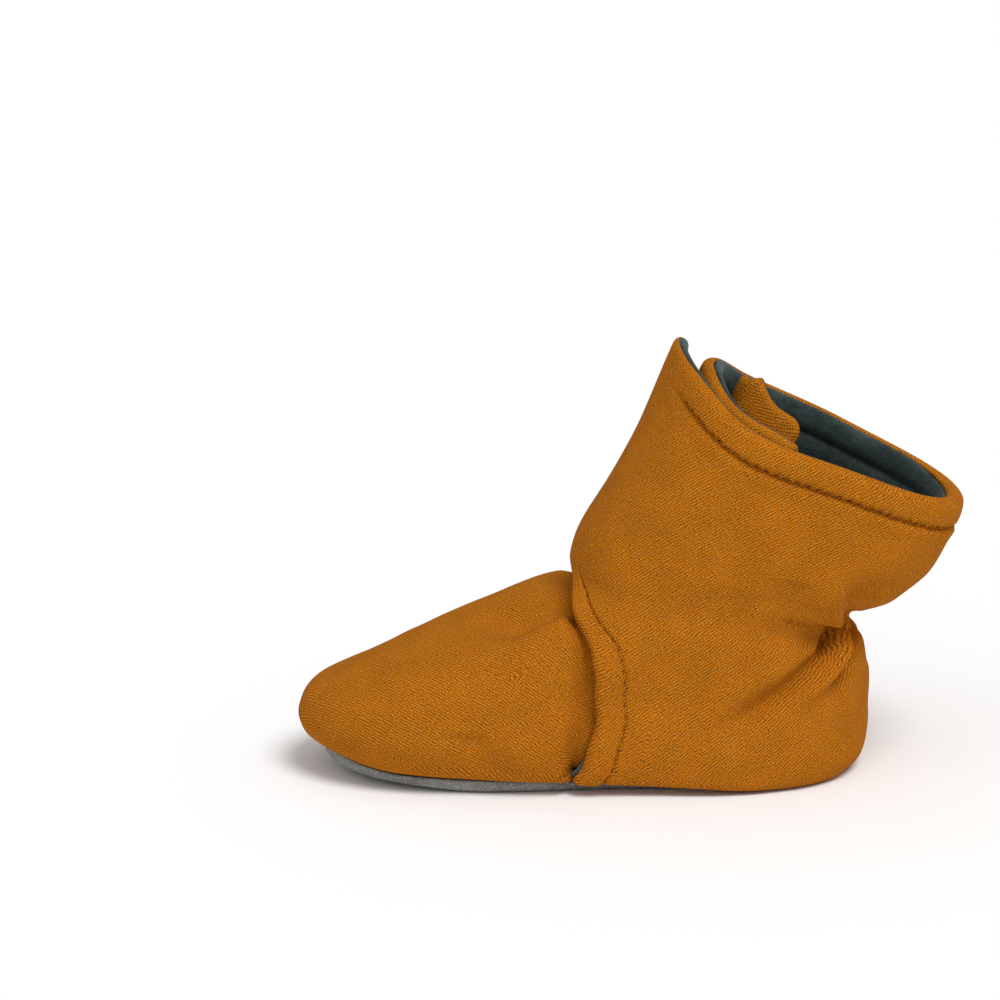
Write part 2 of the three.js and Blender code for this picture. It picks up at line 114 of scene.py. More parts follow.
# Soft troughs: angle and row at the deep end, angle and row where it has faded, width in
# degrees towards lower and towards higher angles, depth as a share of WALL. Negative depths
# are ridges
WRAP_FOLDS = (
    (152, 8.05, 115, 2.6, 4.8, 3.8, 1.10),
    (159, 8.15, 139, 4.2, 3.6, 3.2, -0.85),
    (170, 8.20, 140, 4.2, 3.4, 6.0, 1.05),
    (184, 8.0, 182, 5.2, 4.5, 5.0, 0.55),
    (198, 8.0, 204, 4.6, 5.0, 6.0, 0.72),
    (214, 8.0, 228, 3.8, 5.0, 9.0, 0.86),
    (157, 8.5, 118, 11.3, 4.4, 14.0, 0.70),
    (148, 8.5, 110, 11.2, 9.0, 5.0, -0.30),
    (103, 10.3, 106, 9.0, 7.0, 7.0, 0.25),
    (178, 8.1, 172, 11.0, 6.0, 7.0, 0.67),
    (200, 8.1, 208, 11.4, 7.0, 6.0, 0.86),
    (222, 8.1, 238, 10.8, 8.0, 5.0, 0.86),
)
TOE_FOLDS = (
    (25, 8.0, 24, 6.1, 16, 11, 1.35),
    (47, 7.9, 48, 6.0, 8, 12, -0.45),
    (66, 3.2, 76, 0.6, 6, 6, 0.26),
)
ELASTIC = {"from": 122, "to": 238, "fade": 14, "depth": 0.47, "reach": 0.7}

DEGREE = math.pi / 180


# Small tools

def lerp(a, b, t):
    return a + (b - a) * t


def smooth(a, b, x):
    t = np.clip((x - a) / (b - a), 0, 1)
    return t * t * (3 - 2 * t)


def bell(x):
    return np.exp(-(x ** 2))


def curve_through(values, place):
    """A smooth curve through values at 0, 1, 2 and on, read at place"""
    ends = np.concatenate(([2 * values[0] - values[1]], values, [2 * values[-1] - values[-2]]))
    i = np.clip(np.floor(place).astype(int), 0, len(values) - 2)
    t = place - i
    p0, p1, p2, p3 = (ends[i + k] for k in range(4))
    bend = 2 * p0 - 5 * p1 + 4 * p2 - p3 + t * (3 * (p1 - p2) + p3 - p0)
    return p1 + 0.5 * t * (p2 - p0 + t * bend)


def unit(v):
    return v / np.maximum(np.linalg.norm(v, axis=-1, keepdims=True), 1e-9)


def rough(points, size, seed):
    """Smooth noise from -1 to 1 at each point, with lumps of about that size"""
    flat = points.reshape(-1, 3) / size + seed * 17.3
    return np.array([noise.noise(Vector(p)) for p in flat]).reshape(points.shape[:-1])


# The last

def sized_rows():
    sized = {key: [] for key in ROW_KEYS}
    for n, shares in enumerate(FOOT_ROWS + SHAFT_ROWS):
        in_shaft = n >= INSTEP_ROW
        half = (SHAFT_WIDTH if in_shaft else BALL_WIDTH) / 2
        for key, share in zip(ROW_KEYS, shares):
            if key.endswith("X"):
                sized[key].append(share * FOOT_LENGTH - HEEL_SEAT)
            elif key.endswith("Z"):
                low, scale = (INSTEP_HEIGHT, SHAFT_RISE) if in_shaft else (0, INSTEP_HEIGHT)
                sized[key].append(low + share * scale)
            else:
                sized[key].append(share * half)
    return {key: np.array(values, float) for key, values in sized.items()}


ROWS = sized_rows()
EDGES = {key: np.array(values, float) * DEGREE for key, values in zip(EDGE_KEYS, zip(*EDGE_ROWS))}


def at(name, row):
    return curve_through(ROWS[name], row)


def edge(name, row):
    return curve_through(EDGES[name], row)


def last_point(angle, row):
    angle, row = np.broadcast_arrays(np.asarray(angle, float), np.asarray(row, float))
    along, side = np.cos(angle), np.sin(angle)
    foot = 1 - smooth(INSTEP_ROW - 3, INSTEP_ROW, row)
    half = lerp(at("heel", row), at("ball", row), smooth(-0.6, 0.4, along))
    at_heel = foot * smooth(0, -0.5, along)
    fullness = 1 + lerp(SQUARENESS["shoe"], SQUARENESS["heel"], at_heel) * along ** 2
    arch = ARCH_DEPTH * foot * np.maximum(side, 0) * bell((along - ARCH["middle"]) / ARCH["reach"])
    drift = TOE_DRIFT * foot * smooth(0.1, 1, along)
    middle = 0.5 * (1 + along)
    dip = COLLAR_DIP * side ** 2 * smooth(INSTEP_ROW + 2, TOP_ROW, row)
    return np.stack([
        lerp(at("backX", row), at("frontX", row), middle),
        half * side * fullness - arch + drift,
        lerp(at("backZ", row), at("frontZ", row), middle) - dip,
    ], axis=-1)


def outward(angle, row):
    step = 0.01
    along_angle = last_point(angle + step, row) - last_point(angle - step, row)
    up = last_point(angle, np.minimum(row + step, TOP_ROW))
    up = up - last_point(angle, np.maximum(row - step, 0))
    return unit(np.cross(along_angle, up))


def level_inward(angle, row):
    return -unit(outward(angle, row) * (1, 1, 0))


def shell_point(angle, row, depth):
    """A point of the shoe that depth under the last's surface"""
    angle, row = np.broadcast_arrays(np.asarray(angle, float), np.asarray(row, float))
    curl = 1 - smooth(WIDEST_ROW - 0.5, WIDEST_ROW + 1.5, row)[..., None]
    curled = level_inward(angle, np.maximum(row, WIDEST_ROW)) + (0, 0, SEAM_SQUEEZE)
    inward = lerp(-outward(angle, row), curled, curl)
    return last_point(angle, row) + inward * np.asarray(depth)[..., None]


def inner_drop(angle, row):
    turned = smooth(-100 * DEGREE, -45 * DEGREE, angle)
    return FLAP_DROP * turned * smooth(INSTEP_ROW - 0.8, INSTEP_ROW + 1, row)


FOLD_HOLD = 0.5                      # share of a fold's length over which it keeps its depth
FOLD_BEND = 0.7                      # below 1, a fold turns most near its deep end


def fold_depth(folds, angle, row):
    depth = 0
    for start, low, to, high, before, after, share in folds:
        t = (row - low) / (high - low)
        middle = lerp(start, to, np.maximum(t, 0) ** FOLD_BEND) * DEGREE
        width = np.where(angle < middle, before, after)
        reach = width * DEGREE * lerp(0.8, 1.6, np.clip(t, 0, 1))
        fade = (1 - smooth(FOLD_HOLD, 1, t)) * smooth(-0.15, 0, t)
        depth = depth + WALL * share * fade * bell((angle - middle) / reach)
    return depth


def elastic_row(angle):
    """The elastic runs a little higher round the back"""
    return INSTEP_ROW + 0.5 * smooth(32 * DEGREE, 8 * DEGREE, np.abs(angle - math.pi))


def elastic_depth(angle, row):
    start, end, fade = ELASTIC["from"], ELASTIC["to"], ELASTIC["fade"]
    pull = smooth(start, start + fade, angle / DEGREE) * smooth(end, end - fade, angle / DEGREE)
    return WALL * ELASTIC["depth"] * pull * bell((row - elastic_row(angle)) / ELASTIC["reach"])


INNER_FLAP_FROM = 252 * DEGREE
THROAT_TUCK = 2.5                    # the inner flap's foot lies this much deeper at the throat


def throat_tuck(angle, row):
    return THROAT_TUCK * smooth(-75 * DEGREE, -45 * DEGREE, angle) * bell((row - 7.8) / 1.1)


def wrap_depth(angle, row):
    pulled = fold_depth(WRAP_FOLDS, angle, row) + elastic_depth(angle, row)
    corner = smooth(45 * DEGREE, -14 * DEGREE, angle) * smooth(TOP_ROW - 2.2, TOP_ROW, row)
    under = angle - 2 * math.pi
    dropped = pulled + inner_drop(under, row) + throat_tuck(under, row)
    return np.where(angle > INNER_FLAP_FROM, dropped, pulled - FLAP_FLARE * corner)


def wrap_point(angle, row, depth):
    point = shell_point(angle, row, wrap_depth(angle, row) + depth)
    point[..., 2] -= heel_sag(point[..., 0]) * (1 - smooth(0, 1.6, row))
    point[..., 2] += TIP_RISE * smooth(22 * DEGREE, -14 * DEGREE, angle) * smooth(TOP_ROW - 1.2, TOP_ROW, row)
    return point


RIM_CUTS = ((64, 30, 0.22), (412, 34, 0.15))     # middle and reach in degrees, depth in rows


def rim_row(angle):
    """Both flaps are cut lower on the inner side, the outer one more"""
    return TOP_ROW - sum(rows * bell((angle / DEGREE - middle) / reach) for middle, reach, rows in RIM_CUTS)


def from_seam(low, high, row):
    return lerp(low, high, smooth(0, WIDEST_ROW, row)) * DEGREE


def toe_depth(angle, row):
    width, clear = from_seam(1.2, 6, row), from_seam(-0.8, 1, row)
    inner_edge = edge("inner", row) - clear
    outer_edge = edge("outer", row) - 2 * math.pi + clear
    inner = smooth(inner_edge - width, inner_edge, angle)
    outer = smooth(outer_edge + width, outer_edge, angle)
    under = np.maximum(np.maximum(inner, outer), smooth(INSTEP_ROW - 0.1, INSTEP_ROW + 1, row))
    gap = lerp(LAYER_GAP, TONGUE_GAP, smooth(INSTEP_ROW - 0.8, INSTEP_ROW + 0.4, row))
    lean = lerp(TONGUE_LEAN, TONGUE_LEAN - 1.5, smooth(60 * DEGREE, 0, angle))
    lean = lean * smooth(INSTEP_ROW + 1.5, TOP_ROW, row) + throat_tuck(angle, row) * outer
    return inner_drop(angle, row) + (WALL + gap) * under + fold_depth(TOE_FOLDS, angle, row) + lean


def toe_point(angle, row, depth):
    point = shell_point(angle, row, toe_depth(angle, row) + depth)
    rise = TONGUE_RISE * smooth(INSTEP_ROW + 3, TOP_ROW, row) * smooth(0, 75 * DEGREE, angle)
    rise = rise + TOE_TURN * turned_up(point[..., 0]) * (1 - smooth(0, 3.5, row))
    return point + np.stack([0 * rise, 0 * rise, rise], axis=-1)


TOE_TURN = 2.2                       # the seam at the toe is turned up by this


def turned_up(x, start=0.82, end=1.0):
    return smooth(start, end, (x + HEEL_SEAT) / FOOT_LENGTH)


HEEL_SAG = 0.9                       # the heel's cloth sags over the sole's rim by this
TIP_RISE = 0.9                       # the outer flap's tip stands up by this


def heel_sag(x):
    return HEEL_SAG * smooth(12, 0, x)


# Cloth: knit outside and fleece inside, which meet on the rounded edge. A place across that
# edge is an arc length, 0 at its crest, negative on the outside and positive on the inside

ROUND = WALL / 2
QUARTER = ROUND * math.pi / 2
KNIT_THICKNESS = 1.2
FLEECE_THICKNESS = 1.1
LIP_GAP = 0.15                       # between the knit's edge and the lining's


def profile(place, inset):
    """Distance from the edge and depth of a point of the rounded edge, inset under its skin"""
    turn = np.clip(place, -QUARTER, QUARTER) / ROUND
    past = np.maximum(np.abs(place) - QUARTER, 0)
    reach = ROUND - inset
    return ROUND - reach * np.cos(turn) + past, ROUND + reach * np.sin(turn)


def place_of(distance):
    """Arc length from the crest to a point that far from the edge on a flat face"""
    return distance - ROUND + QUARTER


BAND = (6.5, 6.2, 5.95, 5.75, 5.6, 5.5, 5.4, 5.25, 5.05, 4.8, 4.4, 3.9, 3.3, 2.7, 2.1, ROUND)
ARC_STEPS = 8


def band_places(lip, inside):
    """Places from the cloth's field to its lip, as rows of an array like lip"""
    field = [place_of(distance) for distance in (BAND[::2] if inside else BAND)]
    steps = ARC_STEPS // 2 if inside else ARC_STEPS
    arc = [np.asarray(lerp(-QUARTER, lip, (k + 1) / steps)) for k in range(steps)]
    return np.stack([np.full_like(lip, -f) for f in field] + arc)


def corner_places(corner, side, rim, side_lip, rim_lip):
    """Places on the sides and the rim, bent into one round corner where both are near"""
    start = place_of(corner)
    x = np.clip((side + start) / (side_lip + start), 0, None)
    y = np.clip((rim + start) / (rim_lip + start), 0, None)
    cornered = (x > 0) & (y > 0)
    qx = x * np.sqrt(np.maximum(1 - y * y / 2, 0))
    qy = y * np.sqrt(np.maximum(1 - x * x / 2, 0))
    r = np.sqrt(qx * qx + qy * qy)
    cos, sin = qx / np.maximum(r, 1e-9), qy / np.maximum(r, 1e-9)
    lip = cos ** 2 * side_lip + sin ** 2 * rim_lip
    place = np.where(cornered, r * (lip + start) - start, np.maximum(side, rim))
    return place, cornered, cos, sin


PROBE = 0.02


def rows_per_mm(point, angle, row):
    step = point(angle, row, 0.0) - point(angle, row - PROBE, 0.0)
    return PROBE / np.linalg.norm(step, axis=-1)


def radians_per_mm(point, angle, row):
    step = point(angle + PROBE / 2, row, 0.0) - point(angle - PROBE / 2, row, 0.0)
    return PROBE / np.linalg.norm(step, axis=-1)


BODY_TURN = 9.0                      # rows below this are level on every column
BOTTOM_ROUND = 0.6                   # how a cloth turns in to the sole seam
HEEL_SPREAD = 250 * DEGREE


class Cloth:
    """One padded cloth of the upper: its points, its two sides, its top and its lips"""

    def __init__(self, point, first, last, top, lips, corner, crowd=0.0):
        self.point, self.first, self.last, self.top = point, first, last, top
        self.first_lip, self.last_lip, self.rim_lip = lips
        self.corner, self.crowd = corner, crowd

    def field_angle(self, share, row):
        """Angle of a column between the two side bands"""
        first, last = self.first(row), self.last(row)
        start = first + BAND[0] * radians_per_mm(self.point, first, row)
        end = last - BAND[0] * radians_per_mm(self.point, last, row)
        even = lerp(start, end, share)
        crowded = lerp(even, math.pi + (share - 0.5) * HEEL_SPREAD, 0.5)
        return lerp(even, crowded, self.crowd * smooth(0, 0.15, share) * smooth(1, 0.85, share))

    def lay_out(self, columns, foot_lines, shaft_shares, inside=False, inset=0.0):
        """Angle, row and depth of each point of a grid over the knit, or over the lining"""
        gap = LIP_GAP if inside else 0
        sign = -1 if inside else 1
        places = lambda lip: band_places(sign * lip - gap, inside)
        band = len(BAND[::2]) + ARC_STEPS // 2 if inside else len(BAND) + ARC_STEPS
        share = np.concatenate([np.zeros(band - 1), np.linspace(0, 1, columns), np.ones(band - 1)])
        body = len(foot_lines) + len(shaft_shares)
        shares = np.broadcast_to(share, (body + band - 1, len(share)))

        top = self.top(share)
        per_mm = rows_per_mm(self.point, self.field_angle(share, top), top)
        rows = np.empty(shares.shape)
        rows[:len(foot_lines)] = foot_lines[:, None]
        rows[len(foot_lines):body] = lerp(BODY_TURN, top - BAND[0] * per_mm, shaft_shares[:, None])
        rows[body:] = top

        side = np.full(shares.shape, -np.inf)
        side[:, :band] = places(self.first_lip(rows[:, 0])).T[:, ::-1]
        side[:, -band:] = places(self.last_lip(rows[:, -1])).T
        rim = np.full(shares.shape, -np.inf)
        rim[body - 1:] = places(self.rim_lip(share))
        side_lip = sign * np.where(shares < 0.5, self.first_lip(rows), self.last_lip(rows)) - gap
        rim_lip = sign * self.rim_lip(shares) - gap
        corner = self.corner
        place, cornered, cos, sin = corner_places(corner, side, rim, side_lip, rim_lip)
        reach, depth = profile(sign * place, inset)
        from_side = np.where(cornered, corner - cos * (corner - reach), profile(sign * side, inset)[0])
        from_rim = np.where(cornered, corner - sin * (corner - reach), profile(sign * rim, inset)[0])

        rows[body:] = (top - from_rim * per_mm)[body:]
        angle = self.field_angle(shares, rows)
        left, right = slice(None, band), slice(-band, None)
        for part, side_at, turn in ((left, self.first, 1), (right, self.last, -1)):
            start = side_at(rows[:, part])
            scale = radians_per_mm(self.point, start, rows[:, part])
            angle[:, part] = start + turn * from_side[:, part] * scale
        beside = slice(band, -band)
        for side_at, turn in ((self.first, 1), (self.last, -1)):
            start = side_at(rows[:, beside])
            away = turn * (angle[:, beside] - start) / radians_per_mm(self.point, start, rows[:, beside])
            from_side[:, beside] = np.minimum(from_side[:, beside], away)
        from_rim[:body] = ((top - rows) / per_mm)[:body]
        nearest = np.where(cornered, reach, np.minimum(from_side, from_rim))
        return Layout(self, angle, rows, depth, nearest, from_side < from_rim, band, body)


class Layout:
    """A laid out grid: angle, row, depth and distance to the nearest hem of each point"""

    def __init__(self, cloth, angle, row, depth, nearest, at_side, band, body):
        self.cloth, self.angle, self.row, self.depth = cloth, angle, row, depth
        self.nearest, self.at_side, self.band, self.body = nearest, at_side, band, body

    def points(self, more_depth=0.0):
        return self.cloth.point(self.angle, self.row, self.depth + more_depth)


def lengths(points, axis):
    """Length along a grid's rows or columns, from their start"""
    steps = np.linalg.norm(np.diff(points, axis=axis), axis=-1)
    start = np.zeros_like(np.take(steps, [0], axis=axis))
    return np.concatenate([start, np.cumsum(steps, axis=axis)], axis=axis)


# Meshes

def mesh_object(name, points, faces, material, uv=None):
    mesh = bpy.data.meshes.new(name)
    mesh.from_pydata((np.asarray(points) * MM).tolist(), [], faces)
    mesh.polygons.foreach_set("use_smooth", np.ones(len(mesh.polygons), bool))
    if uv is not None:
        corners = np.empty(len(mesh.loops), np.int32)
        mesh.loops.foreach_get("vertex_index", corners)
        layer = mesh.uv_layers.new(name="cloth")
        layer.data.foreach_set("uv", np.asarray(uv, np.float32)[corners].ravel())
    mesh.materials.append(material)
    mesh.validate()
    piece = bpy.data.objects.new(name, mesh)
    bpy.context.scene.collection.objects.link(piece)
    return piece


def grid_faces(lines, columns, start=0, flip=False):
    line, column = np.meshgrid(np.arange(lines - 1), np.arange(columns - 1), indexing="ij")
    first = (start + line * columns + column).ravel()
    quads = np.stack([first, first + 1, first + columns + 1, first + columns], axis=1)
    return quads[:, ::-1] if flip else quads


BACK_STEP = 2                        # the unseen back of a knit sheet keeps every other point


def border_of(ids):
    return np.concatenate([ids[0, :-1], ids[:-1, -1], ids[-1, :0:-1], ids[:0:-1, 0]]).tolist()


def kept_stops(count, step):
    return np.unique(np.append(np.arange(0, count, step), count - 1))


def sheet(name, front, back, material, uv=None, flip=False, step=1):
    """A closed sheet: a fine grid in front, a coarser one behind it, and the four edges between"""
    lines, columns = front.shape[:2]
    kept = np.ix_(kept_stops(lines, step), kept_stops(columns, step))
    whole = np.arange(lines * columns).reshape(lines, columns)
    back = back[kept]
    behind = lines * columns + np.arange(back.shape[0] * back.shape[1]).reshape(back.shape[:2])
    points = np.concatenate([front.reshape(-1, 3), back.reshape(-1, 3)])
    faces = grid_faces(lines, columns).tolist()
    faces += grid_faces(*back.shape[:2], start=lines * columns, flip=True).tolist()
    border, stops = border_of(whole), dict(zip(border_of(whole[kept]), border_of(behind)))
    run = [border[0]]
    for corner in border[1:] + border[:1]:
        run.append(corner)
        if corner in stops:
            faces.append(run[::-1] + [stops[run[0]], stops[corner]])
            run = [corner]
    if flip:
        faces = [face[::-1] for face in faces]
    if uv is not None:
        uv = np.concatenate([uv.reshape(-1, 2), uv[kept].reshape(-1, 2)])
    return mesh_object(name, points, faces, material, uv)


def declare(piece, slot, *nodes):
    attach(piece, "root")
    if nodes:
        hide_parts(*nodes)
    return piece


# Flat patterns: each cloth is laid flat by springs, so that its knit runs as in a cut piece

FLAT_LEVELS = ((7, 12, 300), (13, 23, 500), (25, 45, 900))     # lines, columns, steps


def spread_indices(reach, wanted):
    """Stops of a row of points that are evenly spaced along it"""
    return np.unique(np.searchsorted(reach, np.linspace(0, reach[-1], wanted) - 1e-9))


def filled(flat, i, j, up, across):
    """A coarse flat grid, filled in to all its points by their lengths up and across"""
    rows = np.stack([[np.interp(across, across[j], line[:, c]) for line in flat] for c in (0, 1)])
    full = [[np.interp(up, up[i], rows[c, :, k]) for k in range(len(across))] for c in (0, 1)]
    return np.array(full).transpose(2, 1, 0)


def flattened(points):
    """Flat coordinates of a grid, in millimetres, that keep its lengths as well as they can"""
    reach = lengths(points, 1)
    middle = reach.shape[1] // 2
    up, across = lengths(points, 0).mean(axis=1), reach.mean(axis=0)
    flat = np.stack([reach - reach[:, [middle]], np.broadcast_to(up[:, None], reach.shape)], axis=-1)
    for lines, columns, steps in FLAT_LEVELS:
        i, j = spread_indices(up, lines), spread_indices(across, columns)
        kept = np.ix_(i, j)
        flat = filled(relaxed(points[kept], flat[kept], steps), i, j, up, across)
    return flat


def relaxed(coarse, flat, steps):
    links = []
    for down, along in ((0, 1), (1, 0), (1, 1), (1, -1)):
        first = (slice(None, -down or None), slice(-along if along < 0 else None, -along if along > 0 else None))
        second = (slice(down, None), slice(along if along > 0 else None, along if along < 0 else None))
        links.append((first, second, np.linalg.norm(coarse[second] - coarse[first], axis=-1)))
    for _ in range(steps):
        move, count = np.zeros_like(flat), np.zeros(flat.shape[:2])
        for first, second, rest in links:
            apart = flat[second] - flat[first]
            now = np.maximum(np.linalg.norm(apart, axis=-1), 1e-6)
            pull = apart * (0.5 * (1 - rest / now))[..., None]
            move[first] += pull
            move[second] -= pull
            count[first] += 1
            count[second] += 1
        flat = flat + 1.4 * move / count[..., None]
    return flat


# Relief of the cloth's outside, in millimetres outward

PUCKER_PITCH = 2.1
STITCH_PITCH = 2.3


def hem_relief(distance, along, puffy):
    """The hem stands proud, its stitches sink in, and the cloth past them puckers"""
    wobble = 0.12 * np.sin(along * 1.7) + 0.1 * np.sin(along * 0.63 + 1)
    wave = np.cos(2 * math.pi * along / PUCKER_PITCH + wobble * 4)
    stitched = HEM_WIDTH + lerp(0.12, 0.28, puffy) * wave
    plateau = lerp(0.7, 1.0, puffy) * HEM_STEP * smooth(stitched + 0.15, stitched - 0.6, distance)
    crown = lerp(0.15, 0.36, puffy) * np.sin(np.clip(distance / HEM_WIDTH, 0, 1) * math.pi)
    groove = -lerp(0.42, 0.8, puffy) * bell((distance - stitched - 0.15) / lerp(0.3, 0.45, puffy))
    past = np.maximum(distance - HEM_WIDTH, 0)
    swell = 0.34 * puffy * bell((past - 1.9) / 1.3)
    pucker = lerp(0.06, 0.34, puffy) * wave * bell((past - 0.7) / 1.3)
    return plateau + crown + groove + swell + pucker * smooth(-0.3, 0.5, distance - HEM_WIDTH)


def bottom_turn(layout):
    """Depth by which a cloth's outside turns in at the sole seam"""
    per_mm = rows_per_mm(layout.cloth.point, layout.angle, np.full_like(layout.row, 0.4))
    height = np.clip(layout.row / per_mm, 0, BOTTOM_ROUND)
    return BOTTOM_ROUND - np.sqrt(BOTTOM_ROUND ** 2 - (BOTTOM_ROUND - height) ** 2)


# Materials

class Shader:
    """A material's nodes, made by short calls"""

    def __init__(self, name):
        self.material = bpy.data.materials.new(name)
        self.material.use_nodes = True
        self.nodes = self.material.node_tree.nodes
        self.links = self.material.node_tree.links
        self.surface = self.nodes["Principled BSDF"]

    def put(self, socket, value):
        if isinstance(value, bpy.types.NodeSocket):
            self.links.new(value, socket)
        else:
            socket.default_value = value

    def node(self, kind, output=0, settings=None, **inputs):
        made = self.nodes.new(kind)
        for key, value in (settings or {}).items():
            setattr(made, key, value)
        for key, value in inputs.items():
            self.put(made.inputs[int(key[1:]) if key[0] == "i" and key[1:].isdigit() else key], value)
        return made.outputs[output]

    def math(self, operation, a, b=0.0, c=0.0, clamp=False):
        settings = {"operation": operation, "use_clamp": clamp}
        return self.node("ShaderNodeMath", settings=settings, i0=a, i1=b, i2=c)

    def map_range(self, value, low, high, to_low=0.0, to_high=1.0):
        return self.node("ShaderNodeMapRange", i0=value, i1=low, i2=high, i3=to_low, i4=to_high)

    def noise(self, where, scale, detail=2.0, output=0):
        return self.node("ShaderNodeTexNoise", output, Vector=where, Scale=scale, Detail=detail)

    def mix(self, share, a, b):
        made = self.nodes.new("ShaderNodeMix")
        made.data_type = "RGBA"
        self.put(made.inputs[0], share)
        self.put(made.inputs[6], a)
        self.put(made.inputs[7], b)
        return made.outputs[2]

    def bump(self, height, strength, distance, normal=None):
        made = self.nodes.new("ShaderNodeBump")
        made.inputs["Strength"].default_value = strength
        made.inputs["Distance"].default_value = distance
        self.put(made.inputs["Height"], height)
        if normal is not None:
            self.links.new(normal, made.inputs["Normal"])
        return made.outputs["Normal"]

    def finish(self, color, roughness, normal=None, **sockets):
        self.put(self.surface.inputs["Base Color"], color)
        self.put(self.surface.inputs["Roughness"], roughness)
        if normal is not None:
            self.put(self.surface.inputs["Normal"], normal)
        for key, value in sockets.items():
            self.surface.inputs[key.replace("_", " ")].default_value = value
        return self.material


def linear(red, green, blue):
    """Linear colour from 0 to 255 values as seen on a screen"""
    curve = lambda c: c / 12.92 if c <= 0.04045 else ((c + 0.055) / 1.055) ** 2.4
    return (*(curve(c / 255) for c in (red, green, blue)), 1.0)


WALE = 0.53                          # knit pitch across the ribs, in millimetres
COURSE = 0.47                        # and along them
CREST_HIGHLIGHT = (0.36, 0.28, 0.20)          # how far the painted highlight on a stitch's crest goes to white, by channel


def knit(name, turn, tone):
    """Fine jersey knit: ribs of V stitches, with painted shade in the slit beside each stitch and a painted
    highlight on each stitch's crest
    """
    s = Shader(name)
    uv = s.node("ShaderNodeUVMap", settings={"uv_map": "cloth"})
    where = s.node("ShaderNodeMapping", Vector=uv, Rotation=(0, 0, turn * DEGREE))
    moved = where
    for scale, reach in ((0.11, 1.0), (1.2, 0.46)):
        drift = s.noise(where, scale, 2.0, 1)
        middle = s.node("ShaderNodeVectorMath", settings={"operation": "SUBTRACT"}, i0=drift, i1=(0.5,) * 3)
        add = {"operation": "MULTIPLY_ADD"}
        moved = s.node("ShaderNodeVectorMath", settings=add, i0=middle, i1=(reach, reach, 0), i2=moved)
    axes = s.nodes.new("ShaderNodeSeparateXYZ")
    s.links.new(moved, axes.inputs[0])
    wale = s.math("DIVIDE", axes.outputs[0], WALE)
    slant = s.math("PINGPONG", wale, 0.5)
    course = s.math("MULTIPLY_ADD", slant, 0.9, s.math("DIVIDE", axes.outputs[1], COURSE))
    border = s.math("COSINE", s.math("MULTIPLY", wale, 2 * math.pi))
    border = s.math("MULTIPLY_ADD", border, 0.5, 0.5)
    gap = s.math("COSINE", s.math("MULTIPLY", course, 2 * math.pi))
    gap = s.math("MULTIPLY_ADD", gap, 0.5, 0.5)
    # the slit beside each stitch: a sunken bump, and painted shade in the colour
    slit = s.math("MULTIPLY", border, s.math("MULTIPLY_ADD", gap, 0.8, 0.2))
    slit = s.map_range(slit, 0.15, 0.85)
    # the crest of each stitch: a bump, and a painted highlight in the colour
    crest = s.math("MULTIPLY", s.math("SUBTRACT", 1.0, border), s.math("SUBTRACT", 1.0, gap))
    crest = s.map_range(crest, 0.2, 0.9)

    stretched = s.node("ShaderNodeMapping", Vector=where, Scale=(1.0, 0.55, 1.0))
    fibre = s.noise(stretched, 3.2, 3.0)
    blotch = s.noise(where, 0.14, 2.0)
    uneven = s.map_range(s.noise(where, 0.95, 2.0), 0.35, 0.65, 0.15, 1.1)
    scaled = lambda share: linear(*(min(share * c, 255) for c in tone))
    # colour of the painted highlight on the crests
    highlight_color = linear(*(lerp(c, 255, k) for c, k in zip(tone, CREST_HIGHLIGHT)))
    shade = s.math("MULTIPLY_ADD", fibre, 0.8, s.math("MULTIPLY", blotch, 0.2))
    ground = s.mix(s.map_range(shade, 0.38, 0.62), scaled(0.80), scaled(1.06))
    # painted highlight: the crests go towards that colour
    lit = s.mix(s.math("MULTIPLY", crest, uneven, clamp=True), ground, highlight_color)
    # painted shade: the slits go down to 0.54 of the tone
    color = s.mix(s.math("MULTIPLY", slit, uneven, clamp=True), lit, scaled(0.54))
    height = s.math("MULTIPLY_ADD", slit, -0.8, s.math("MULTIPLY_ADD", crest, 0.4, s.math("MULTIPLY", fibre, 0.5)))
    normal = s.bump(height, 0.5, 0.10 * MM)
    return s.finish(color, 0.95, normal, Specular_IOR_Level=0.03)


def fleece(name, light, dark):
    """Short brushed pile, clumped and matt"""
    s = Shader(name)
    where = s.node("ShaderNodeTexCoord", 3)
    pile = s.noise(where, 900.0, 4.0)
    clump = s.noise(where, 260.0, 3.0)
    nap = s.noise(where, 60.0, 2.0)
    mixed = s.math("MULTIPLY_ADD", pile, 0.5, s.math("MULTIPLY", clump, 0.6))
    tone = s.math("MULTIPLY_ADD", nap, 0.5, s.math("MULTIPLY", mixed, 0.6))
    color = s.mix(s.map_range(tone, 0.4, 0.75), linear(*dark), linear(*light))
    normal = s.bump(mixed, 0.9, 0.5 * MM)
    return s.finish(color, 0.95, normal, Sheen_Weight=0.6, Sheen_Roughness=0.45,
                    Specular_IOR_Level=0.15, Sheen_Tint=linear(150, 165, 165))


def plain(name, color, roughness, bumps=0.0, scale=400.0):
    s = Shader(name)
    where = s.node("ShaderNodeTexCoord", 3)
    grain = s.noise(where, scale, 3.0)
    tone = s.mix(s.map_range(grain, 0.3, 0.7), linear(*(0.85 * c for c in color)), linear(*color))
    normal = s.bump(grain, bumps, 0.2 * MM)
    return s.finish(tone, roughness, normal)


def grip_cloth(name, light, dark):
    """Matt weave with a thin coating, with fine glints of its grains painted into the colour"""
    s = Shader(name)
    where = s.node("ShaderNodeTexCoord", 3)
    grain = s.noise(where, 2600.0, 2.0)
    worn = s.noise(where, 120.0, 3.0)
    tone = s.math("MULTIPLY_ADD", worn, 0.5, s.math("MULTIPLY", grain, 0.5))
    color = s.mix(s.map_range(tone, 0.35, 0.65), linear(*dark), linear(*light))
    # painted glints: fine specks of the weave go towards pale grey
    painted_glint = s.map_range(s.noise(where, 4200.0, 0.0), 0.62, 0.72)
    color = s.mix(painted_glint, color, linear(176, 176, 168))
    normal = s.bump(grain, 0.5, 0.08 * MM)
    return s.finish(color, 0.6, normal, Specular_IOR_Level=0.4)


